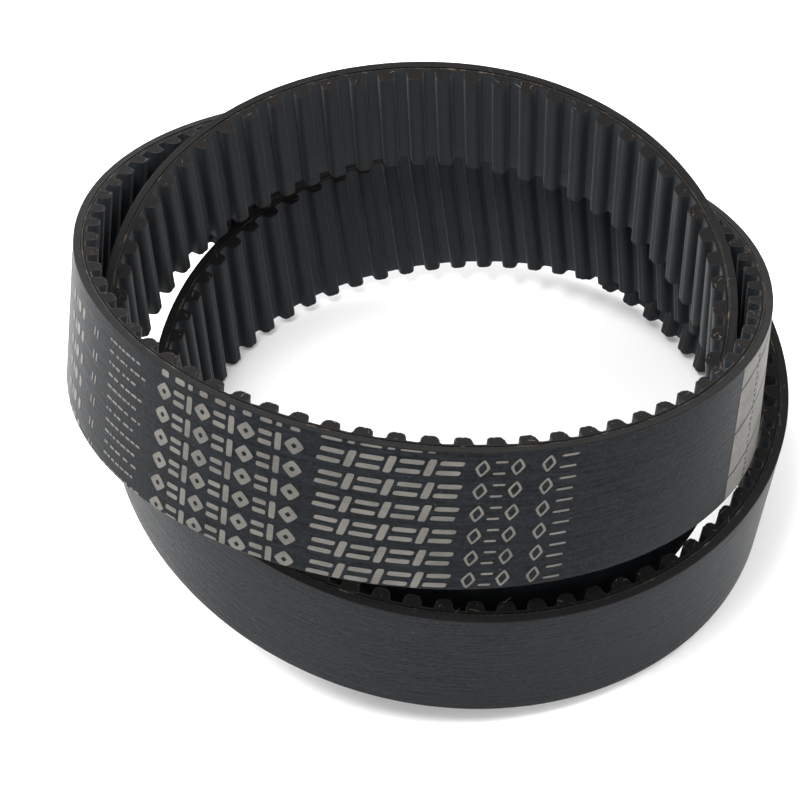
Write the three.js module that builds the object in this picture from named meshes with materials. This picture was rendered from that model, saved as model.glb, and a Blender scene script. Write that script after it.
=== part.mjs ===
// A toothed timing belt: one endless moulded loop, coiled in three turns and standing on its edge.
// Units are millimetres. +Z is up, and the front of the coil faces -Y.
import * as THREE from "three";

// Belt size.
const toothPitch = 3;
const toothCount = 199;
const beltLength = toothPitch * toothCount;
const beltWidth = 15;

// Thickness, measured from the pitch line, which runs through the middle of the cords.
const backFace = 0.86;
const cordRadius = 0.15;
const pitchLineToLand = 0.381;
const toothHeight = 1.17;
const facingThickness = 0.14;
const toothTip = pitchLineToLand + toothHeight;

// Tooth profile: half widths along the belt at the root, the flank and the tip.
const toothRootHalf = 1.0;
const toothFlankHalf = 0.8;
const toothFlankDepth = 0.95;
const toothTipHalf = 0.42;
const coreRootHalf = 0.86;
const coreTipHalf = 0.36;
const facingAtTip = 0.16;
const coreTip = toothTip - facingAtTip;

// Colour and roughness of each material.
const backingLook = { color: 0x1b1c1f, roughness: 0.75 };
const toothLook = { color: 0x141416, roughness: 0.8 };
const cordLook = { color: 0xb0895a, roughness: 0.6 };
const fabricLook = { color: 0x26261f, roughness: 0.9 };

// The coil. The belt runs clockwise round it, seen from above, and closes on itself after three turns.
const turns = 3;
const coilRadius = 31;
const coilHeight = 17;

// How the belt's distance from the coil's axis swells along the loop. Each wave has a number of crests in
// the whole loop and a size either way, and its first crest is at an angle run from the front, in degrees.
const radiusWaves = [
  { crests: 1, size: 3.7, first: 160 }, // The first turn is wide, and the last half of the loop is tight.
  { crests: 3, size: 5.5, first: 300 }, // Every turn lies to the right of the axis.
  { crests: 4, size: 0.8, first: 140 },
  { crests: 5, size: 0.7, first: 40 },
  { crests: 6, size: 0.5, first: 125 }, // Every turn is slightly oval.
];

// How the middle of the belt rises and falls, described in the same way.
const heightWaves = [
  { crests: 1, size: 1.5, first: 120 }, // One crest is higher than the other.
  { crests: 2, size: 11, first: 19 }, // The belt climbs over its own turns twice.
  { crests: 3, size: 1.2, first: 40 }, // Every turn stands a little higher at the front left.
  { crests: 4, size: 1.2, first: 25 },
  { crests: 5, size: 0.6, first: 205 },
];

// Sum of a list of waves. `around` runs from 0 to 1 over the whole loop.
function swell(waves, around) {
  return waves.reduce((sum, { crests, size, first }) => {
    const fromCrest = 2 * Math.PI * crests * around - THREE.MathUtils.degToRad((crests * first) / turns);
    return sum + size * Math.cos(fromCrest);
  }, 0);
}

// Point of the pitch line at mid width, before the loop is brought to its exact length.
function roughPoint(around) {
  const angle = 2 * Math.PI * turns * around;
  const radius = coilRadius + swell(radiusWaves, around);
  const height = coilHeight + swell(heightWaves, around);
  return new THREE.Vector3(-radius * Math.sin(angle), -radius * Math.cos(angle), height);
}

// Running length of the rough loop at equal steps of `around`.
function measureLoop(steps) {
  const lengths = [0];
  let last = roughPoint(0);
  for (let step = 1; step <= steps; step += 1) {
    const next = roughPoint(step / steps);
    lengths.push(lengths[step - 1] + next.distanceTo(last));
    last = next;
  }
  return lengths;
}

const loopSteps = 7200;
const loopLengths = measureLoop(loopSteps);
const loopScale = beltLength / loopLengths[loopSteps];

// Share of the loop at which the pitch line has run `along` millimetres.
function aroundAt(along) {
  const wanted = (((along % beltLength) + beltLength) % beltLength) / loopScale;
  let low = 0;
  let high = loopSteps;
  while (high - low > 1) {
    const middle = (low + high) >> 1;
    if (loopLengths[middle] > wanted) high = middle;
    else low = middle;
  }
  const rest = (wanted - loopLengths[low]) / (loopLengths[high] - loopLengths[low]);
  return (low + rest) / loopSteps;
}

// Point on the belt: `along` the pitch line, `across` the width (positive up) and `outward` to the back face.
// A belt bends only through its thickness, so its width stands square to the plane of the bend.
function beltPoint(along, across, outward) {
  const around = aroundAt(along);
  const step = 1e-4;
  const before = roughPoint(around - step);
  const middle = roughPoint(around);
  const after = roughPoint(around + step);
  const tangent = after.clone().sub(before).normalize();
  const bend = after.clone().add(before).addScaledVector(middle, -2);
  const widthWay = bend.cross(tangent).normalize();
  const outWay = widthWay.clone().cross(tangent);
  return middle
    .multiplyScalar(loopScale)
    .addScaledVector(widthWay, across)
    .addScaledVector(outWay, outward);
}

// A rail is one closed line along the belt. It repeats `profile` at every tooth,
// and each profile entry is a distance from the tooth's middle and an outward offset.
function rail(across, profile) {
  const points = [];
  for (let tooth = 0; tooth < toothCount; tooth += 1) {
    for (const [fromTooth, outward] of profile) {
      const along = tooth * toothPitch + fromTooth;
      points.push({ along, place: beltPoint(along, across, outward) });
    }
  }
  return { across, outward: profile[0][1], points };
}

// A rail with no teeth has one point per pitch, over the middle of each tooth.
function plainRail(across, outward) {
  return rail(across, [[0, outward]]);
}

// Distance along the belt of a rail's point. An index past the last point has gone round the loop once.
function reach(line, index) {
  const lap = Math.floor(index / line.points.length);
  return line.points[index % line.points.length].along + lap * beltLength;
}

// Triangles between two neighbouring rails. Each one steps along the rail whose next point is
// nearer to the other rail's point, and two bodies that share a surface split it the same way.
function stitch(first, second, corners) {
  const firstLeads = first.across < second.across
    || (first.across === second.across && first.outward < second.outward);
  const place = (line, index) => line.points[index % line.points.length].place;
  let a = 0;
  let b = 0;
  while (a < first.points.length || b < second.points.length) {
    const spanIfFirst = Math.abs(reach(first, a + 1) - reach(second, b));
    const spanIfSecond = Math.abs(reach(second, b + 1) - reach(first, a));
    if (spanIfFirst < spanIfSecond || (spanIfFirst === spanIfSecond && firstLeads)) {
      corners.push(place(first, a), place(first, a + 1), place(second, b));
      a += 1;
    } else {
      corners.push(place(first, a), place(second, b + 1), place(second, b));
      b += 1;
    }
  }
}

// Closed body around the belt. The rails are the corners of its cross-section,
// listed counter-clockwise with the width to the right and the back face up.
function beltBody(name, look, rails) {
  const corners = [];
  rails.forEach((line, index) => stitch(line, rails[(index + 1) % rails.length], corners));
  const geometry = new THREE.BufferGeometry().setFromPoints(corners);
  geometry.computeVertexNormals();
  const material = new THREE.MeshStandardMaterial({ ...look, metalness: 0 });
  const mesh = new THREE.Mesh(geometry, material);
  mesh.name = name;
  return mesh;
}

const edge = beltWidth / 2;
const innerCordEdge = edge - 2 * cordRadius;

// Smooth rubber back of the belt, down to the outside of the cords.
function backingRubber() {
  return beltBody("backing_rubber", backingLook, [
    plainRail(-edge, cordRadius),
    plainRail(-innerCordEdge, cordRadius),
    plainRail(innerCordEdge, cordRadius),
    plainRail(edge, cordRadius),
    plainRail(edge, backFace),
    plainRail(-edge, backFace),
  ]);
}

// A layer of cords side by side, one cord thick.
function cordLayer(name, from, to) {
  return beltBody(name, cordLook, [
    plainRail(from, -cordRadius),
    plainRail(to, -cordRadius),
    plainRail(to, cordRadius),
    plainRail(from, cordRadius),
  ]);
}

// Profile of the rubber teeth under the fabric, with a thin web of rubber over each land.
const coreProfile = [
  [-coreRootHalf, facingThickness - pitchLineToLand],
  [-coreTipHalf, -coreTip],
  [coreTipHalf, -coreTip],
  [coreRootHalf, facingThickness - pitchLineToLand],
];

// Profile of the teeth as they mesh with a pulley.
const toothProfile = [
  [-toothRootHalf, -pitchLineToLand],
  [-toothFlankHalf, -toothFlankDepth],
  [-toothTipHalf, -toothTip],
  [toothTipHalf, -toothTip],
  [toothFlankHalf, -toothFlankDepth],
  [toothRootHalf, -pitchLineToLand],
];

// Rubber cores of all the teeth, joined by the web.
function toothRubber() {
  return beltBody("tooth_rubber", toothLook, [
    rail(-edge, coreProfile),
    rail(edge, coreProfile),
    plainRail(edge, -cordRadius),
    plainRail(innerCordEdge, -cordRadius),
    plainRail(-innerCordEdge, -cordRadius),
    plainRail(-edge, -cordRadius),
  ]);
}

// Woven fabric that covers the teeth and the lands between them.
function toothFacing() {
  return beltBody("tooth_facing_fabric", fabricLook, [
    rail(-edge, toothProfile),
    rail(edge, toothProfile),
    rail(edge, coreProfile),
    rail(-edge, coreProfile),
  ]);
}

// Moves the finished belt so that it stands on the ground with its box centred on the origin.
function standOnGround(belt) {
  const box = new THREE.Box3().setFromObject(belt);
  const middle = box.getCenter(new THREE.Vector3());
  for (const mesh of belt.children) {
    mesh.geometry.translate(-middle.x, -middle.y, -box.min.z);
  }
}

function timingBelt() {
  const belt = new THREE.Group();
  belt.name = "timing_belt";
  belt.add(
    backingRubber(),
    cordLayer("tensile_cord_layer", -innerCordEdge, innerCordEdge),
    cordLayer("upper_edge_cord", innerCordEdge, edge),
    cordLayer("lower_edge_cord", -edge, -innerCordEdge),
    toothRubber(),
    toothFacing(),
  );
  standOnGround(belt);
  return belt;
}

export default timingBelt();
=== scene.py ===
"""A coiled timing belt: its looks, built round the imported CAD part.

Belt shapes are worked out in millimetres in the belt's own directions: `along` the pitch line, `across` the
width (positive towards the upper edge) and `outward` from the pitch line to the smooth back. They become
metres in the row's frame when a mesh is made.
"""
import math
import bpy
import numpy as np
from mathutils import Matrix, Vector


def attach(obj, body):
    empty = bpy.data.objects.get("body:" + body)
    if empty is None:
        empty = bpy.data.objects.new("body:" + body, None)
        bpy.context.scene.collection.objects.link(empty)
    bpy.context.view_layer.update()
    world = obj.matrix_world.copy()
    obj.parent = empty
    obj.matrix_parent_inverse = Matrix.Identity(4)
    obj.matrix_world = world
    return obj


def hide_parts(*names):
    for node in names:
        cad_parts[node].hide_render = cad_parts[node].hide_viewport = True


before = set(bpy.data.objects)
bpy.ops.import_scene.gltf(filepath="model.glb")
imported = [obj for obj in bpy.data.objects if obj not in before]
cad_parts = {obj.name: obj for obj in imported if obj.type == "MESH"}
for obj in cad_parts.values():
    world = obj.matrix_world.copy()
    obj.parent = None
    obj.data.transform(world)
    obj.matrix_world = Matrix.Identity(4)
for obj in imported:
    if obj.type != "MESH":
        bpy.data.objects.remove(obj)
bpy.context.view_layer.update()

MM = 0.001

# Belt size, the same as the CAD part's. LAND is the depth of the land between teeth below the pitch line.
TOOTH_PITCH = 3.0
TOOTH_COUNT = 199
BELT_LENGTH = TOOTH_PITCH * TOOTH_COUNT
EDGE = 7.5
BACK_FACE = 0.86
CORD_RADIUS = 0.15
LAND = 0.381
TOOTH_HEIGHT = 1.17
FACING_THICKNESS = 0.14
INNER_CORD_EDGE = EDGE - 2 * CORD_RADIUS

# Finer shape of the tooth.
TOOTH_HALF_WIDTH = 0.88
ROOT_FILLET = 0.2
TOOTH_SQUARENESS = 2.9
TIP_DIMPLE = 0.06
TIP_DIMPLE_HALF_WIDTH = 0.2
DIMPLE_SHOULDER = (0.25, TOOTH_HEIGHT - 0.015)

# The knife's cut is never quite straight: how far each layer's edge lies or wanders inward.
BACKING_WANDER = 0.018
BACKING_TEAR = 0.014
CLOTH_FRAY = 0.06
CORE_TEAR = 0.03
CORE_RECESS = 0.01

# The coil, the same as the CAD part's. The belt runs clockwise round it and closes after three turns.
# Each wave is its number of crests in the loop, its size, and the angle run to its first crest, in degrees.
TURNS = 3
COIL_RADIUS = 31
COIL_HEIGHT = 17
RADIUS_WAVES = ((1, 3.7, 160), (3, 5.5, 300), (4, 0.8, 140), (5, 0.7, 40), (6, 0.5, 125))
HEIGHT_WAVES = ((1, 1.5, 120), (2, 11, 19), (3, 1.2, 40), (4, 1.2, 25), (5, 0.6, 205))


# ---------------------------------------------------------------- the belt's route

def swell(waves, around):
    """Sum of a list of waves. `around` runs from 0 to 1 over the whole loop."""
    return sum(size * np.cos(2 * np.pi * crests * around - math.radians(crests * first / TURNS))
               for crests, size, first in waves)


def rough_point(around):
    """Point of the pitch line at mid width, before the loop is brought to its exact length."""
    around = np.asarray(around, float)
    angle = 2 * np.pi * TURNS * around
    radius = COIL_RADIUS + swell(RADIUS_WAVES, around)
    height = COIL_HEIGHT + swell(HEIGHT_WAVES, around)
    return np.stack([-radius * np.sin(angle), -radius * np.cos(angle), height], -1)


LOOP_STEPS = 7200
loop_around = np.linspace(0, 1, LOOP_STEPS + 1)
loop_steps = np.linalg.norm(np.diff(rough_point(loop_around), axis=0), axis=1)
loop_lengths = np.concatenate([[0], np.cumsum(loop_steps)])
loop_scale = BELT_LENGTH / loop_lengths[-1]


def unit(vectors):
    return vectors / np.linalg.norm(vectors, axis=-1, keepdims=True)


def coil_point(along, across, outward):
    """Belt coordinates to millimetres, with the coil's axis as origin. The arguments broadcast. A belt bends
    only through its thickness, so its width stands square to the plane of the bend."""
    along, across, outward = np.broadcast_arrays(along, across, outward)
    around = np.interp(np.mod(along, BELT_LENGTH) / loop_scale, loop_lengths, loop_around)
    step = 1e-4
    before, middle, after = (rough_point(around + shift) for shift in (-step, 0, step))
    tangent = unit(after - before)
    width_way = unit(np.cross(after + before - 2 * middle, tangent))
    out_way = np.cross(width_way, tangent)
    return middle * loop_scale + width_way * across[..., None] + out_way * outward[..., None]


def stand_on_ground():
    """Shift that puts the coil on the ground with its box centred, as in the CAD part."""
    along = np.arange(0, BELT_LENGTH, TOOTH_PITCH / 4)
    faces = (BACK_FACE, -LAND - TOOTH_HEIGHT)
    corners = [coil_point(along, side * EDGE, outward) for side in (-1, 1) for outward in faces]
    low = np.concatenate(corners).min(0)
    high = np.concatenate(corners).max(0)
    return np.array([-(low[0] + high[0]) / 2, -(low[1] + high[1]) / 2, -low[2]])


coil_shift = stand_on_ground()


def belt_point(along, across, outward):
    """Belt coordinates in millimetres to the row's frame in metres."""
    return (coil_point(along, across, outward) + coil_shift) * MM


# ---------------------------------------------------------------- mesh making

def make_mesh(name, places, faces, belt_corners, material, sharp_degrees=35):
    """A piece from points in metres and faces. Every face corner keeps its place on the belt, in millimetres,
    for the materials."""
    mesh = bpy.data.meshes.new(name)
    mesh.from_pydata(places.tolist(), [], faces.tolist() if hasattr(faces, "tolist") else faces)
    layer = mesh.attributes.new("belt_mm", "FLOAT_VECTOR", "CORNER")
    layer.data.foreach_set("vector", np.ascontiguousarray(belt_corners, np.float32).ravel())
    mesh.shade_smooth()
    mesh.set_sharp_from_angle(angle=math.radians(sharp_degrees))
    mesh.materials.append(material)
    piece = bpy.data.objects.new(name, mesh)
    bpy.context.scene.collection.objects.link(piece)
    return piece


def tube_parts(rails, surface_run=None, run_length=BELT_LENGTH):
    """Points, faces and corner coordinates of a closed tube round the belt. Each rail is (along, across,
    outward), all of one length, and they go counter-clockwise round the section with the back face up.
    `surface_run` takes the place of `along` in the corner coordinates, and `run_length` is all of it."""
    belt = np.stack([np.stack(np.broadcast_arrays(*rail), -1).astype(float) for rail in rails])
    rail_count, stations = belt.shape[:2]
    index = np.arange(rail_count * stations).reshape(rail_count, stations)
    next_rail = np.roll(index, -1, axis=0)
    faces = np.stack([index, np.roll(index, -1, 1), np.roll(next_rail, -1, 1), next_rail], -1).reshape(-1, 4)
    marked = belt.copy()
    if surface_run is not None:
        marked[..., 0] = surface_run
    corners = marked.reshape(-1, 3)[faces]
    past_the_end = np.zeros((rail_count, stations, 4), bool)
    past_the_end[:, -1, 1:3] = True
    corners[..., 0] += past_the_end.reshape(-1, 4) * run_length
    return belt.reshape(-1, 3), faces, corners.reshape(-1, 3)


def joined_tubes(name, tubes, material, sharp_degrees=35):
    """One piece from several closed tubes."""
    belts, faces, corners = [], [], []
    total = 0
    for belt, tube_faces, tube_corners in tubes:
        belts.append(belt)
        faces.append(tube_faces + total)
        corners.append(tube_corners)
        total += len(belt)
    belt = np.concatenate(belts)
    places = belt_point(belt[:, 0], belt[:, 1], belt[:, 2])
    return make_mesh(name, places, np.concatenate(faces), np.concatenate(corners), material, sharp_degrees)


def ripple(stations, height, waves, seed):
    """Closed random waviness round the belt: one value for each station."""
    random = np.random.default_rng(seed)
    turn = 2 * np.pi * np.arange(stations) / stations
    total = np.zeros(stations)
    for wave in waves:
        total += random.uniform(0.4, 1) * np.sin(wave * turn + random.uniform(0, 2 * np.pi))
    return height * total / math.sqrt(len(waves))


# ---------------------------------------------------------------- node helpers for materials

def new_material(name):
    material = bpy.data.materials.new(name)
    material.use_nodes = True
    tree = material.node_tree
    return material, tree, tree.nodes["Principled BSDF"]


def belt_vector(tree, scale):
    """Belt coordinates, stretched by `scale` per millimetre."""
    place = tree.nodes.new("ShaderNodeAttribute")
    place.attribute_name = "belt_mm"
    mapping = tree.nodes.new("ShaderNodeVectorMath")
    mapping.operation = "MULTIPLY"
    mapping.inputs[1].default_value = scale
    tree.links.new(place.outputs["Vector"], mapping.inputs[0])
    return mapping.outputs["Vector"]


def noise(tree, vector, detail=3.0, roughness=0.55):
    node = tree.nodes.new("ShaderNodeTexNoise")
    node.inputs["Scale"].default_value = 1.0
    node.inputs["Detail"].default_value = detail
    node.inputs["Roughness"].default_value = roughness
    tree.links.new(vector, node.inputs["Vector"])
    return node.outputs["Fac"]


def spread(tree, value, low, high, to_low=0.0, to_high=1.0):
    """Maps low..high to to_low..to_high, and clamps."""
    node = tree.nodes.new("ShaderNodeMapRange")
    for socket, number in zip(("From Min", "From Max", "To Min", "To Max"), (low, high, to_low, to_high)):
        node.inputs[socket].default_value = number
    tree.links.new(value, node.inputs["Value"])
    return node.outputs["Result"]


def arithmetic(tree, operation, first, second):
    node = tree.nodes.new("ShaderNodeMath")
    node.operation = operation
    for socket, value in zip(node.inputs, (first, second)):
        if isinstance(value, (int, float)):
            socket.default_value = value
        else:
            tree.links.new(value, socket)
    return node.outputs["Value"]


def colour_sockets(node):
    """The colour sockets of a Mix node share their names with the float ones, so they are found by type."""
    inputs = [socket for socket in node.inputs if socket.type == "RGBA"]
    output = next(socket for socket in node.outputs if socket.type == "RGBA")
    return inputs, output


def mix_colours(tree, share, first, second):
    node = tree.nodes.new("ShaderNodeMix")
    node.data_type = "RGBA"
    tree.links.new(share, node.inputs[0])
    inputs, output = colour_sockets(node)
    for socket, value in zip(inputs, (first, second)):
        if isinstance(value, tuple):
            socket.default_value = (*value, 1.0)
        else:
            tree.links.new(value, socket)
    return output


def bump(tree, shader, height, distance_mm, strength=1.0):
    node = tree.nodes.new("ShaderNodeBump")
    node.inputs["Strength"].default_value = strength
    node.inputs["Distance"].default_value = distance_mm * MM
    tree.links.new(height, node.inputs["Height"])
    tree.links.new(node.outputs["Normal"], shader.inputs["Normal"])


# ---------------------------------------------------------------- materials

def belt_axes(tree):
    """Distance along, across and outward in millimetres, as three values."""
    split = tree.nodes.new("ShaderNodeSeparateXYZ")
    tree.links.new(belt_vector(tree, (1, 1, 1)), split.inputs["Vector"])
    return split.outputs["X"], split.outputs["Y"], split.outputs["Z"]


def ground_rubber():
    """Black rubber ground along the belt: fine streaks, fine grain, a few pale specks, browner cut edges."""
    material, tree, shader = new_material("ground_rubber")
    streaks = noise(tree, belt_vector(tree, (0.22, 2.7, 2)), detail=5, roughness=0.68)
    grain = noise(tree, belt_vector(tree, (2.6, 3.2, 3)), detail=4, roughness=0.6)
    clouds = noise(tree, belt_vector(tree, (0.09, 0.3, 0.2)), detail=2)
    streak_tone = spread(tree, streaks, 0.34, 0.66, 0, 0.6)
    grain_tone = spread(tree, grain, 0.36, 0.64, 0, 0.4)
    tone = arithmetic(tree, "ADD", streak_tone, grain_tone)
    groove, ridge = (0.0001, 0.0003, 0.0007), (0.0152, 0.0181, 0.0212)
    worn, speck, cut_brown = (0.0095, 0.0110, 0.0125), (0.10, 0.10, 0.098), (0.0108, 0.0102, 0.0098)
    colour = mix_colours(tree, tone, groove, ridge)
    colour = mix_colours(tree, spread(tree, clouds, 0.35, 0.7, 0, 0.3), colour, worn)
    specks = spread(tree, noise(tree, belt_vector(tree, (5.2, 6.4, 5)), detail=1), 0.765, 0.80)
    colour = mix_colours(tree, specks, colour, speck)
    from_middle = arithmetic(tree, "ABSOLUTE", belt_axes(tree)[1], 0.0)
    cut = spread(tree, from_middle, EDGE - 0.10, EDGE - 0.02, 0, 0.85)
    colour = mix_colours(tree, cut, colour, cut_brown)
    tree.links.new(colour, shader.inputs["Base Color"])
    tree.links.new(spread(tree, streaks, 0.3, 0.7, 0.40, 0.56), shader.inputs["Roughness"])
    shader.inputs["Specular IOR Level"].default_value = 0.06
    shader.inputs["Sheen Weight"].default_value = 0.24
    shader.inputs["Sheen Roughness"].default_value = 0.2
    bump(tree, shader, tone, 0.03, 0.9)
    return material


def woven_facing():
    """Rubbered nylon cloth: a fine stretch weave with brown and olive flecks, and painted light between the
    teeth.
    """
    material, tree, shader = new_material("woven_facing")
    along, across, outward = belt_axes(tree)
    yarn_pitch = 0.42
    yarn = 2 * math.pi / yarn_pitch
    warp = arithmetic(tree, "SINE", arithmetic(tree, "MULTIPLY", along, yarn), 0.0)
    weft = arithmetic(tree, "SINE", arithmetic(tree, "MULTIPLY", across, yarn), 0.0)
    weave = spread(tree, arithmetic(tree, "MULTIPLY", warp, weft), -1, 1, 0, 0.6)
    grain = noise(tree, belt_vector(tree, (6, 6, 6)), detail=3)
    height = arithmetic(tree, "ADD", weave, spread(tree, grain, 0.3, 0.7, 0, 0.5))
    low_yarn, high_yarn = (0.0076, 0.0093, 0.0114), (0.0182, 0.0216, 0.0254)
    # The first colour below is painted light for the paler lands between the teeth; brown and olive are the
    # cloth's own flecks.
    painted_land_light, brown, olive = (0.0300, 0.0352, 0.0410), (0.0225, 0.0210, 0.0215), (0.020, 0.0195, 0.013)
    cut_black = (0.0060, 0.0054, 0.0050)
    colour = mix_colours(tree, spread(tree, height, 0.1, 1.0), low_yarn, high_yarn)
    # Painted light: the lands between the teeth are made paler, to lift the shade that falls there.
    between_teeth = spread(tree, outward, -LAND - 0.6 * TOOTH_HEIGHT, -LAND, 0, 0.9)
    colour = mix_colours(tree, between_teeth, colour, painted_land_light)
    patches = noise(tree, belt_vector(tree, (0.45, 0.22, 0.4)), detail=3)
    colour = mix_colours(tree, spread(tree, patches, 0.5, 0.72, 0, 0.3), colour, brown)
    flecks = spread(tree, noise(tree, belt_vector(tree, (2.3, 1.5, 2)), detail=2), 0.62, 0.7, 0, 0.4)
    colour = mix_colours(tree, flecks, colour, olive)
    from_middle = arithmetic(tree, "ABSOLUTE", across, 0.0)
    cut = spread(tree, from_middle, EDGE - 0.12, EDGE - 0.05, 0, 0.95)
    colour = mix_colours(tree, cut, colour, cut_black)
    tree.links.new(colour, shader.inputs["Base Color"])
    tree.links.new(spread(tree, grain, 0.3, 0.7, 0.48, 0.68), shader.inputs["Roughness"])
    shader.inputs["Specular IOR Level"].default_value = 0.12
    shader.inputs["Sheen Weight"].default_value = 0.13
    shader.inputs["Sheen Roughness"].default_value = 0.35
    bump(tree, shader, height, 0.03, 0.8)
    return material


def cut_rubber():
    """Moulded rubber laid open by the knife: brownish black with knife marks across the cut."""
    material, tree, shader = new_material("cut_rubber")
    marks = noise(tree, belt_vector(tree, (8, 2, 2.5)), detail=4, roughness=0.7)
    black, brown = (0.0034, 0.0033, 0.0033), (0.0135, 0.0125, 0.0118)
    colour = mix_colours(tree, spread(tree, marks, 0.3, 0.7), black, brown)
    tree.links.new(colour, shader.inputs["Base Color"])
    tree.links.new(spread(tree, marks, 0.3, 0.7, 0.6, 0.8), shader.inputs["Roughness"])
    shader.inputs["Specular IOR Level"].default_value = 0.06
    bump(tree, shader, marks, 0.03, 0.8)
    return material


def glass_cord():
    """Pale brown glass cord, smeared with black rubber by the cut, so it shows as short dashes."""
    material, tree, shader = new_material("glass_cord")
    filaments = noise(tree, belt_vector(tree, (4, 22, 22)), detail=3)
    brown, pale, rubber = (0.040, 0.032, 0.023), (0.15, 0.122, 0.090), (0.0085, 0.0072, 0.0060)
    colour = mix_colours(tree, spread(tree, filaments, 0.3, 0.7), brown, pale)
    smears = noise(tree, belt_vector(tree, (0.42, 0.3, 0.3)), detail=4, roughness=0.7)
    colour = mix_colours(tree, spread(tree, smears, 0.33, 0.46, 0, 0.97), colour, rubber)
    tree.links.new(colour, shader.inputs["Base Color"])
    tree.links.new(spread(tree, filaments, 0.3, 0.7, 0.5, 0.7), shader.inputs["Roughness"])
    shader.inputs["Specular IOR Level"].default_value = 0.25
    bump(tree, shader, filaments, 0.02, 0.6)
    return material


def loose_fibre():
    """Frayed ends of cord and cloth, from nearly black to pale brown."""
    material, tree, shader = new_material("loose_fibre")
    shade = noise(tree, belt_vector(tree, (0.8, 0.8, 0.8)), detail=2)
    dark, pale = (0.009, 0.008, 0.007), (0.16, 0.138, 0.108)
    colour = mix_colours(tree, spread(tree, shade, 0.35, 0.65), dark, pale)
    tree.links.new(colour, shader.inputs["Base Color"])
    shader.inputs["Roughness"].default_value = 0.6
    return material


def ink(name, dark, light, worn):
    """Thin ink, slightly rubbed along the belt. The three colours are its darkest, lightest and worn ones."""
    material, tree, shader = new_material(name)
    cover = noise(tree, belt_vector(tree, (2.2, 9, 4)), detail=4, roughness=0.7)
    shade = noise(tree, belt_vector(tree, (0.35, 0.5, 0.4)), detail=2)
    colour = mix_colours(tree, spread(tree, shade, 0.3, 0.7), dark, light)
    colour = mix_colours(tree, spread(tree, cover, 0.56, 0.76, 0, 0.8), colour, worn)
    tree.links.new(colour, shader.inputs["Base Color"])
    tree.links.new(spread(tree, cover, 0.3, 0.7, 0.5, 0.65), shader.inputs["Roughness"])
    shader.inputs["Specular IOR Level"].default_value = 0.3
    bump(tree, shader, cover, 0.008, 0.5)
    return material


def pale_ink():
    return ink("pale_ink", (0.078, 0.074, 0.066), (0.120, 0.113, 0.101), (0.024, 0.023, 0.021))


def dark_ink():
    return ink("dark_ink", (0.010, 0.010, 0.011), (0.018, 0.018, 0.019), (0.05, 0.047, 0.042))


# ---------------------------------------------------------------- the layers of the belt

def backing():
    """Smooth rubber back with softened corners and two knife-cut sides."""
    stations = TOOTH_COUNT * 8
    along = np.arange(stations) * BELT_LENGTH / stations
    corner = 0.07
    flat_to = EDGE - 0.1
    rails = [(along, across, CORD_RADIUS) for across in np.linspace(-EDGE, EDGE, 7)]

    def side_rails(side):
        wave = np.abs(ripple(stations, BACKING_WANDER, (37, 61, 113, 197), seed=11 + side))
        levels = np.linspace(CORD_RADIUS, BACK_FACE - corner, 5)[1:]
        made = []
        for number, level in enumerate(levels):
            seed = 20 + 5 * side + number
            tear = np.abs(ripple(stations, BACKING_TEAR, (149, 271, 433, 611, 743), seed))
            made.append((along, side * (EDGE - wave - tear), level))
        for degrees in (35, 70):
            turn = math.radians(degrees)
            across = EDGE - wave - corner * (1 - math.cos(turn))
            made.append((along, side * across, BACK_FACE - corner * (1 - math.sin(turn))))
        return made

    rails += side_rails(1)
    rails += [(along, across, BACK_FACE) for across in np.linspace(flat_to, -flat_to, 9)]
    rails += side_rails(-1)[::-1]
    return joined_tubes("backing", [tube_parts(rails)], ground_rubber(), sharp_degrees=50)


def tooth_profile():
    """Half round the tooth from root to tip, then mirrored: distance from the tooth's middle and depth below
    the land, for one pitch."""
    fillet = [(TOOTH_HALF_WIDTH + ROOT_FILLET * (1 - math.sin(turn)), ROOT_FILLET * (1 - math.cos(turn)))
              for turn in np.radians((0, 30, 60))]
    start = math.asin((ROOT_FILLET / TOOTH_HEIGHT) ** (TOOTH_SQUARENESS / 2))
    crown = []
    for turn in np.linspace(start, math.pi / 2, 10):
        from_middle = TOOTH_HALF_WIDTH * math.cos(turn) ** (2 / TOOTH_SQUARENESS)
        depth = TOOTH_HEIGHT * math.sin(turn) ** (2 / TOOTH_SQUARENESS)
        depth -= TIP_DIMPLE * math.exp(-(from_middle / TIP_DIMPLE_HALF_WIDTH) ** 2)
        crown.append((max(from_middle, 0.0), depth))
    half = fillet + crown[:-1] + [DIMPLE_SHOULDER, crown[-1]]
    right = half[:-1][::-1]
    left = [(-from_middle, depth) for from_middle, depth in half[:-1]]
    return np.array(left + [half[-1]] + right)


def round_all_teeth(profile):
    """The profile repeated at every tooth: distances along the belt and outward offsets."""
    teeth = np.arange(TOOTH_COUNT)[:, None] * TOOTH_PITCH
    along = (teeth + profile[None, :, 0]).ravel()
    outward = np.tile(-LAND - profile[:, 1], TOOTH_COUNT)
    return along, outward


def inset(profile, distance):
    """The profile moved into the rubber by the cloth's thickness, square to its own surface."""
    ahead = np.roll(profile, -1, axis=0)
    behind = np.roll(profile, 1, axis=0)
    ahead[-1, 0] += TOOTH_PITCH
    behind[0, 0] -= TOOTH_PITCH
    way = unit(ahead - behind)
    inward = np.stack([way[:, 1], -way[:, 0]], -1)
    return profile + distance * inward


def surface_run(profile):
    """Running length over lands and teeth, for the weave, and its whole length round the loop."""
    closed = np.vstack([profile, profile[:1] + [TOOTH_PITCH, 0]])
    steps = np.linalg.norm(np.diff(closed, axis=0), axis=1)
    pitch_run = steps.sum()
    within = np.concatenate([[0], np.cumsum(steps)[:-1]])
    run = (np.arange(TOOTH_COUNT)[:, None] * pitch_run + within[None, :]).ravel()
    return run, TOOTH_COUNT * pitch_run


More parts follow.
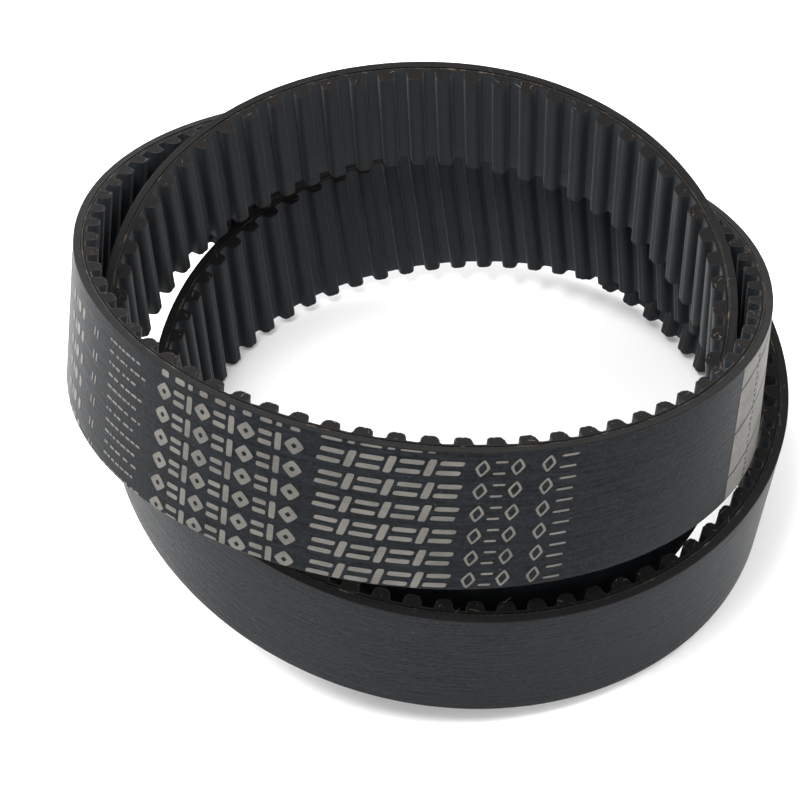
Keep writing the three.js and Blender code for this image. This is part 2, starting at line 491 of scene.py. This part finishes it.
def tooth_layers():
    """The rubber cores of the teeth and the cloth over them."""
    profile = tooth_profile()
    cloth_along, cloth_out = round_all_teeth(profile)
    core_along, core_out = round_all_teeth(inset(profile, FACING_THICKNESS))
    stations = len(cloth_along)
    run, run_length = surface_run(profile)
    lower = -EDGE + np.abs(ripple(stations, CLOTH_FRAY, (211, 397, 1013, 1907), seed=41))
    upper = EDGE - np.abs(ripple(stations, CLOTH_FRAY, (223, 389, 997, 1873), seed=42))
    lower_tear = np.abs(ripple(stations, CORE_TEAR, (97, 241, 509, 811), seed=43))
    upper_tear = np.abs(ripple(stations, CORE_TEAR, (103, 239, 521, 797), seed=44))
    core_lower = -EDGE + CORE_RECESS + lower_tear
    core_upper = EDGE - CORE_RECESS - upper_tear
    core = [(core_along, core_lower, core_out), (core_along, core_upper, core_out)]
    core += [(core_along, across, -CORD_RADIUS) for across in (core_upper, 0, core_lower)]
    rubber = joined_tubes("tooth_cores", [tube_parts(core)], cut_rubber())
    straight_to = EDGE - 0.2
    cloth = [(cloth_along, lower, cloth_out)]
    cloth += [(cloth_along, across, cloth_out) for across in np.linspace(-straight_to, straight_to, 7)]
    cloth += [(cloth_along, upper, cloth_out), (core_along, upper, core_out), (core_along, lower, core_out)]
    facing = joined_tubes("facing", [tube_parts(cloth, run, run_length)], woven_facing())
    return rubber, facing


def round_tube(along, across, outward, radius, sides):
    """Rails of a round tube whose middle runs along the given line."""
    rails = []
    for side in range(sides):
        turn = 2 * math.pi * side / sides
        rails.append((along, across + radius * math.cos(turn), outward + radius * math.sin(turn)))
    return rails


def inner_cords(material):
    """The cords inside the belt, side by side across its width."""
    count = 22
    radius = CORD_RADIUS - 0.01
    along = np.arange(TOOTH_COUNT * 2) * TOOTH_PITCH / 2
    spacing = 2 * INNER_CORD_EDGE / count
    middles = -INNER_CORD_EDGE + spacing * (np.arange(count) + 0.5)
    tubes = [tube_parts(round_tube(along, middle, 0.0, radius, sides=6)) for middle in middles]
    return joined_tubes("inner_cords", tubes, material)


def edge_cord(name, side, material):
    """The cord laid open by the cut: three twisted plies that end just inside the edge."""
    stations = TOOTH_COUNT * 14
    along = np.arange(stations) * BELT_LENGTH / stations
    plies = 3
    ply_radius = 0.072
    twist_radius = 0.07
    twists = 300
    recess = 0.02
    wander = ripple(stations, 0.018, (23, 41, 67, 131), seed=60 + side)
    middle = side * (EDGE - CORD_RADIUS - recess + wander)
    tubes = []
    for ply in range(plies):
        turn = side * 2 * np.pi * (twists * np.arange(stations) / stations + ply / plies)
        across = middle + twist_radius * np.cos(turn)
        outward = twist_radius * np.sin(turn)
        tubes.append(tube_parts(round_tube(along, across, outward, ply_radius, sides=6)))
    return joined_tubes(name, tubes, material, sharp_degrees=80)


FIBRE_COUNT = 640
FIBRE_STEPS = 6
FIBRE_SIDES = 4
FIBRES_ON_UPPER_EDGE = 0.6
FIBRES_ON_TEETH = 0.6
FIBRE_ROOT = EDGE - 0.06


def fibre(random):
    """One short fibre: the side of the belt that it stands on, and its points in belt coordinates."""
    side = 1 if random.uniform() < FIBRES_ON_UPPER_EDGE else -1
    length = random.uniform(0.25, 0.95)
    start = random.uniform(0, BELT_LENGTH)
    on_tooth = random.uniform() < FIBRES_ON_TEETH
    level = random.uniform(-1.35, -0.4) if on_tooth else random.uniform(-0.3, 0.35)
    if on_tooth:
        start = round(start / TOOTH_PITCH) * TOOTH_PITCH + random.uniform(-0.75, 0.75)
    heading = random.uniform(-1.1, 1.1)
    drift = random.uniform(-0.6, 0.6)
    curl = random.uniform(-0.5, 0.5)
    radius = random.uniform(0.02, 0.045) if on_tooth else random.uniform(0.011, 0.028)
    share = np.linspace(0, 1, FIBRE_STEPS)
    reach = length * math.cos(heading) * 0.55  # Fibres lean over, so they stand out by about half.
    along = start + length * math.sin(heading) * share + curl * length * share ** 2
    across = side * (FIBRE_ROOT + reach * share * (1 - 0.25 * share))
    outward = level + drift * length * share ** 1.5
    thin = radius * (1 - 0.5 * share)
    rings = []
    for corner in range(FIBRE_SIDES):
        turn = 2 * math.pi * corner / FIBRE_SIDES
        ring = (along + thin * math.cos(turn), across, outward + thin * math.sin(turn))
        rings.append(np.stack(ring, -1))
    return side, np.stack(rings, 1).reshape(-1, 3)


def fibre_faces(side):
    """Faces of one closed fibre, turned outward for the side of the belt that it stands on."""
    faces = []
    for step in range(FIBRE_STEPS - 1):
        here = step * FIBRE_SIDES
        ahead = here + FIBRE_SIDES
        for corner in range(FIBRE_SIDES):
            after = (corner + 1) % FIBRE_SIDES
            faces.append([here + corner, here + after, ahead + after, ahead + corner])
    last_ring = (FIBRE_STEPS - 1) * FIBRE_SIDES
    faces.append(list(reversed(range(FIBRE_SIDES))))
    faces.append([last_ring + corner for corner in range(FIBRE_SIDES)])
    return faces if side > 0 else [face[::-1] for face in faces]


def loose_fibres():
    """Short fibres of cord and cloth that stand out of the cut edges."""
    random = np.random.default_rng(7)
    belts, faces, corners = [], [], []
    for number in range(FIBRE_COUNT):
        side, belt = fibre(random)
        first = number * len(belt)
        for face in fibre_faces(side):
            faces.append([first + value for value in face])
            corners += [belt[value] for value in face]
        belts.append(belt)
    belt = np.concatenate(belts)
    places = belt_point(belt[:, 0], belt[:, 1], belt[:, 2])
    places[:, 2] = np.maximum(places[:, 2], 0)  # Fibres under the coil are pressed flat on the ground.
    return make_mesh("edge_fibres", places, faces, np.array(corners), loose_fibre(), sharp_degrees=60)


# ---------------------------------------------------------------- the printed marking
# Hollow diamonds, bars, dashes and blocks stand in for every word and number. Reading runs against `along`,
# so the marks are drawn with x to the right and y up, in millimetres, and x = 0 is the front of the coil.

INK_DEPTH = 0.03
INK_SINK = 0.01
INK_LIMIT = EDGE - 0.09
RING_INNER_LIMIT = INK_LIMIT - 0.05
FIRST_ROW = 5.74
ROW_SLOPE = 0.02
ROW_PITCH = 2.45
ROW_COUNT = 6
MARK_HEIGHT = 1.8


def row_height(row, x):
    """Middle height of a row at a distance along the belt. The rows rise a little to the right."""
    return FIRST_ROW + ROW_SLOPE * x - row * ROW_PITCH


class InkSheet:
    """Collects closed, thin bodies of ink that lie on the back of the belt, one coat of ink above another."""

    def __init__(self, coat):
        self.points = []
        self.faces = []
        self.base = BACK_FACE + (coat - 1) * INK_DEPTH - INK_SINK
        self.top = BACK_FACE + coat * INK_DEPTH

    def add(self, points, level, limit=INK_LIMIT):
        """Adds points, and keeps them within `limit` of the middle, where the knife cut the belt."""
        first = len(self.points)
        for x, y in points:
            self.points.append((-x, min(max(y, -limit), limit), level))
        return list(range(first, len(self.points)))

    def blob(self, outline):
        """A filled convex outline, counter-clockwise."""
        middle = [tuple(np.mean(outline, axis=0))]
        top, top_middle = self.add(outline, self.top), self.add(middle, self.top)[0]
        base, base_middle = self.add(outline, self.base), self.add(middle, self.base)[0]
        for here in range(len(outline)):
            after = (here + 1) % len(outline)
            self.faces.append((top_middle, top[here], top[after]))
            self.faces.append((base_middle, base[after], base[here]))
            self.faces.append((base[here], base[after], top[after], top[here]))

    def ring(self, outer, inner):
        """The area between two outlines with the same number of points."""
        loops = [self.add(outer, self.top), self.add(inner, self.top, RING_INNER_LIMIT),
                 self.add(inner, self.base, RING_INNER_LIMIT), self.add(outer, self.base)]
        for here in range(len(outer)):
            after = (here + 1) % len(outer)
            for loop, following in zip(loops, loops[1:] + loops[:1]):
                self.faces.append((loop[here], loop[after], following[after], following[here]))

    def panel(self, left, right, bottom, top, slope):
        """A block whose lower and upper ends slope, cut into cells of about a millimetre."""
        columns = max(1, round(right - left))
        rows = max(1, round(top - bottom))
        xs = np.linspace(left, right, columns + 1)
        ys = np.linspace(bottom, top, rows + 1)
        grid = [(x, y + slope * (x - left)) for y in ys for x in xs]
        upper, lower = self.add(grid, self.top), self.add(grid, self.base)

        def at(row, column):
            return row * (columns + 1) + column

        for row in range(rows):
            for column in range(columns):
                cell = (at(row, column), at(row, column + 1), at(row + 1, column + 1), at(row + 1, column))
                self.faces.append(tuple(upper[value] for value in cell))
                self.faces.append(tuple(lower[value] for value in cell[::-1]))
        rim = [at(0, column) for column in range(columns)]
        rim += [at(row, columns) for row in range(rows)]
        rim += [at(rows, columns - column) for column in range(columns)]
        rim += [at(rows - row, 0) for row in range(rows)]
        for here, after in zip(rim, rim[1:] + rim[:1]):
            self.faces.append((lower[here], lower[after], upper[after], upper[here]))

    def finish(self, name, material):
        belt = np.array(self.points)
        places = belt_point(belt[:, 0], belt[:, 1], belt[:, 2])
        corners = np.array([belt[value] for face in self.faces for value in face])
        return make_mesh(name, places, self.faces, corners, material, sharp_degrees=30)


def rounded(x, y, width, height, squareness=3.0, slant=0.0, points=20):
    """A rounded outline about a middle point, leaning by `slant`. A squareness of 2 gives an ellipse, more
    brings it near a rectangle, and less near a diamond."""
    outline = []
    for step in range(points):
        turn = 2 * math.pi * (step + 0.5) / points
        across = abs(math.cos(turn)) ** (2 / squareness) * math.copysign(width / 2, math.cos(turn))
        rise = abs(math.sin(turn)) ** (2 / squareness) * math.copysign(height / 2, math.sin(turn))
        outline.append((x + across + slant * rise, y + rise))
    return outline


def mark(sheet, kind, left, y, width, stroke, slant):
    """One mark: a hollow diamond, an upright bar or a stack of two flat bars."""
    middle = left + width / 2
    if kind == "diamond":
        both_strokes = 2.5 * stroke  # The slanting sides of a diamond need more than two strokes.
        outer = rounded(middle, y, width, MARK_HEIGHT, 1.2, slant)
        inner = rounded(middle, y, width - both_strokes, MARK_HEIGHT - both_strokes, 1.2, slant)
        sheet.ring(outer, inner)
    elif kind == "bar":
        sheet.blob(rounded(middle, y, width, MARK_HEIGHT, squareness=6, slant=slant, points=12))
    elif kind == "stack":
        for side in (-1, 1):
            rise = side * (MARK_HEIGHT - stroke) / 2.6  # A little inside the top and bottom of a bar.
            place = (middle + slant * rise, y + rise)
            sheet.blob(rounded(*place, width, stroke, squareness=5, slant=slant, points=12))


# The marks of each row and their widths. Every group is one short pattern that repeats.
BROAD_GROUP = (("diamond", 1.8), ("stack", 1.3), ("bar", 0.6)) * 3 + (("diamond", 1.8),)
SLANTED_GROUP = (("stack", 2.1), ("bar", 0.7)) * 3 + (("stack", 2.1),)
THIN_GROUP = (("diamond", 1.3), ("stack", 1.1), ("diamond", 1.3))
SHORT_GROUP = (("diamond", 1.3), ("stack", 1.6))

# Where each group starts, the gap between its marks, its stroke and its slant.
GROUPS = (
    (BROAD_GROUP, -26.4, 0.3, 0.5, 0.0),
    (SLANTED_GROUP, -9.5, 0.32, 0.48, 0.28),
    (THIN_GROUP, 4.0, 0.35, 0.22, 0.12),
    (SHORT_GROUP, 9.9, 0.45, 0.22, 0.12),
)

# The small marks at the left: middles and widths of the blocks, middles of the thin uprights, and where the
# lines of dashes begin and end.
SMALL_BLOCKS = ((-44.6, 0.9), (-43.2, 0.5), (-42.2, 1.1), (-40.6, 0.7))
LARGE_BLOCKS = ((-54.0, 1.6), (-51.8, 1.2), (-50.2, 0.6), (-49.0, 1.7))
UPRIGHTS = (-37.4, -36.7)
DASHES_FROM = -34.0
DASHES_TO = (-29.4, -28.6)
THIN_STROKE = 0.24
DASH_RISE = 1.1


def mark_row(sheet, row):
    """One row of the main marking."""
    for marks, left, gap, stroke, slant in GROUPS:
        for kind, width in marks:
            mark(sheet, kind, left, row_height(row, left), width, stroke, slant)
            left += width + gap


def small_dashes(sheet, random):
    """Two lines of fine dashes to every row of the main marking."""
    for line in range(2 * ROW_COUNT):
        left = DASHES_FROM
        right = DASHES_TO[line % 2]
        y = row_height(line / 2, left) + DASH_RISE
        while left < right:
            width = random.uniform(0.3, 0.9)
            sheet.blob(rounded(left + width / 2, y, width, THIN_STROKE, squareness=6, points=8))
            left += width + random.choice((0.16, 0.24, 0.5), p=(0.5, 0.3, 0.2))


def small_blocks(sheet):
    """Pairs of uprights and two groups of blocks, one of each to every row of the main marking."""
    for row in range(ROW_COUNT):
        for x in UPRIGHTS:
            sheet.blob(rounded(x, row_height(row, x), THIN_STROKE, 0.95, squareness=6, slant=0.1, points=8))
        for x, width in SMALL_BLOCKS:
            sheet.blob(rounded(x, row_height(row, x), width, 1.2, squareness=4, slant=0.1, points=12))
        for x, width in LARGE_BLOCKS:
            sheet.blob(rounded(x, row_height(row, x), width, 1.5, squareness=4, slant=0.15, points=12))


def cut_row(sheet):
    """The lower ends of one more row, which the knife cut through at the upper edge."""
    thinnest = 0.12
    for marks, left, gap, _, slant in GROUPS:
        for kind, width in marks:
            bottom = row_height(-1, left) - MARK_HEIGHT / 2
            shown = INK_LIMIT - bottom
            breadth = width * (0.5 if kind == "diamond" else 0.9)  # A diamond is narrow near its end.
            if shown > thinnest:
                place = (left + width / 2, bottom + shown / 2)
                sheet.blob(rounded(*place, breadth, shown, squareness=4, slant=slant, points=12))
            left += width + gap


def solid_block(sheet):
    """The broad solid block at the right, parted by thin slanting lines."""
    left, right = 34.9, 49.5
    slope = 0.16
    part = 4.9
    gap = 0.13
    bottom = -INK_LIMIT - slope * (right - left)
    while bottom < INK_LIMIT:
        sheet.panel(left, right, bottom + gap, bottom + part - gap, slope)
        bottom += part


def block_ticks(sheet):
    """A line of dark ticks that climbs across the block."""
    count = 22
    pitch = 0.64
    lowest = -7.0
    left_line = 39.4
    stagger = 0.12
    width, height = 0.42, 0.24
    for number in range(count):
        x = left_line + stagger * (number % 3)
        sheet.blob(rounded(x, lowest + number * pitch, width, height, slant=0.2, points=8))


def marking():
    """The pale marks, and the dark ticks on top of the block."""
    pale = InkSheet(coat=1)
    dark = InkSheet(coat=2)
    for row in range(ROW_COUNT):
        mark_row(pale, row)
    cut_row(pale)
    small_dashes(pale, np.random.default_rng(3))
    small_blocks(pale)
    solid_block(pale)
    block_ticks(dark)
    return pale.finish("marking", pale_ink()), dark.finish("marking_ticks", dark_ink())


# ---------------------------------------------------------------- building the belt

cord_material = glass_cord()
backing_piece = backing()
tooth_cores, facing = tooth_layers()
cords = inner_cords(cord_material)
upper_cord = edge_cord("upper_cord", 1, cord_material)
lower_cord = edge_cord("lower_cord", -1, cord_material)
fibres = loose_fibres()
pale_marks, dark_marks = marking()

for piece, node, slot in (
    (backing_piece, "backing_rubber", "backing_rubber"),
    (tooth_cores, "tooth_rubber", "tooth_rubber"),
    (facing, "tooth_facing_fabric", "tooth_facing"),
    (cords, "tensile_cord_layer", "tensile_cord"),
    (upper_cord, "upper_edge_cord", "edge_cord"),
    (lower_cord, "lower_edge_cord", "edge_cord"),
):
    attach(piece, "root")
    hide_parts(node)
for piece, slot in ((fibres, "edge_cord"), (pale_marks, "backing_rubber"), (dark_marks, "backing_rubber")):
    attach(piece, "root")


# ---------------------------------------------------------------- stage, light and camera

def plain_floor():
    """A plain white floor, wide enough to have no edge in view."""
    half = 3.0
    mesh = bpy.data.meshes.new("floor")
    corners = [(-half, -half, 0), (half, -half, 0), (half, half, 0), (-half, half, 0)]
    mesh.from_pydata(corners, [], [(0, 1, 2, 3)])
    material, _, shader = new_material("floor")
    shader.inputs["Base Color"].default_value = (0.96, 0.96, 0.96, 1)
    shader.inputs["Roughness"].default_value = 0.9
    mesh.materials.append(material)
    floor = bpy.data.objects.new("floor", mesh)
    bpy.context.scene.collection.objects.link(floor)


def look_at(thing, place, target):
    """Puts a lamp or camera at a place, turned towards its target."""
    thing.location = place
    thing.rotation_euler = (Vector(target) - Vector(place)).to_track_quat("-Z", "Y").to_euler()


def soft_light(name, place, size, watts):
    """A round lamp that shines on the coil."""
    coil_middle = (0, 0, 0.015)
    lamp = bpy.data.lights.new(name, "AREA")
    lamp.shape = "DISK"
    lamp.size = size
    lamp.energy = watts
    light = bpy.data.objects.new(name, lamp)
    bpy.context.scene.collection.objects.link(light)
    look_at(light, place, coil_middle)


def white_room(strength):
    """Even white light from all round."""
    world = bpy.data.worlds.new("white_room")
    world.use_nodes = True
    background = world.node_tree.nodes["Background"]
    background.inputs["Color"].default_value = (1, 1, 1, 1)
    background.inputs["Strength"].default_value = strength
    bpy.context.scene.world = world


def photo_camera():
    """The photograph's viewpoint."""
    azimuth = math.radians(-5.3)
    elevation = math.radians(46.7)
    distance = 0.2821
    target = Vector((-0.0029, 0.0013, 0.0100))
    way = Vector((math.sin(azimuth) * math.cos(elevation), -math.cos(azimuth) * math.cos(elevation),
                  math.sin(elevation)))
    data = bpy.data.cameras.new("camera")
    data.lens = 123.7
    data.sensor_width = 36
    data.clip_start = 0.01
    camera = bpy.data.objects.new("camera", data)
    bpy.context.scene.collection.objects.link(camera)
    look_at(camera, target + way * distance, target)
    bpy.context.scene.camera = camera


plain_floor()
white_room(strength=1.22)
soft_light("key", (-0.25, -0.15, 0.75), size=0.35, watts=5)
soft_light("fill", (0.55, -0.1, 0.6), size=0.35, watts=1.2)
soft_light("rim", (-0.45, 0.45, 0.22), size=0.3, watts=7)
photo_camera()
bpy.context.scene.view_settings.view_transform = "Standard"
